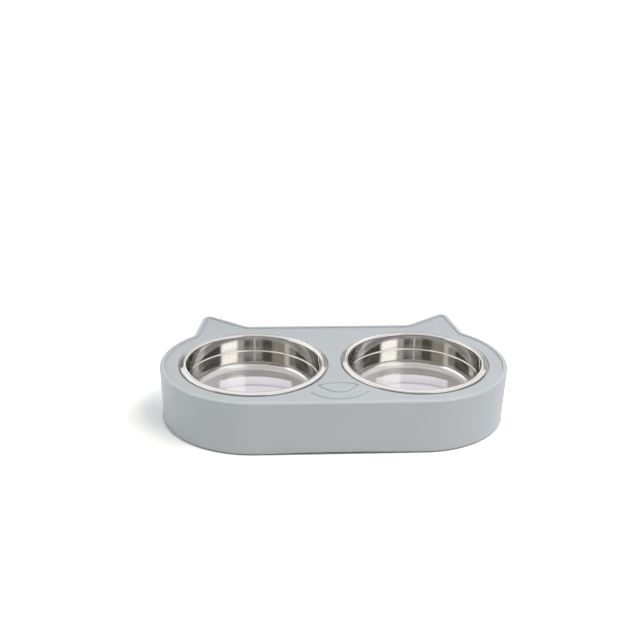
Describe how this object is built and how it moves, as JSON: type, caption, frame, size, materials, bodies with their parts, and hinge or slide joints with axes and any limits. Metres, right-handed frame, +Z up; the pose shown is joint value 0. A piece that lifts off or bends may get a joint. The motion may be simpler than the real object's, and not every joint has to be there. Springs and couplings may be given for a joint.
{
  "type": "double pet bowl",
  "caption": "Low pet feeding stand with a stadium outline, pointed ears, raised lip and engraved face, holding lift-out polished steel bowls side by side.",
  "frame": {"origin": "on the ground under the middle of the whole plan, ears included", "axes": "+X to the right seen from the front, +Y to the back where the ears are, +Z up"},
  "size_m": [0.3072, 0.1904, 0.0496],
  "materials": {
    "stand_plastic": "semi-matte, fine moulded texture",
    "bowl_steel": "polished stainless steel with fine spun lines",
    "foot_rubber": "matte"
  },
  "bodies": {
    "stand": {"base_shell": "stand_plastic", "foot_front_left": "foot_rubber", "foot_front_right": "foot_rubber", "foot_rear_left": "foot_rubber", "foot_rear_right": "foot_rubber"},
    "left_bowl": {"left_bowl": "bowl_steel"},
    "right_bowl": {"right_bowl": "bowl_steel"}
  },
  "joints": [
    {"name": "left_bowl_lift", "type": "slide", "parent": "stand", "child": "left_bowl", "axis": [0, 0, 1], "range_m": [0, 0.06]},
    {"name": "right_bowl_lift", "type": "slide", "parent": "stand", "child": "right_bowl", "axis": [0, 0, 1], "range_m": [0, 0.06]}
  ]
}
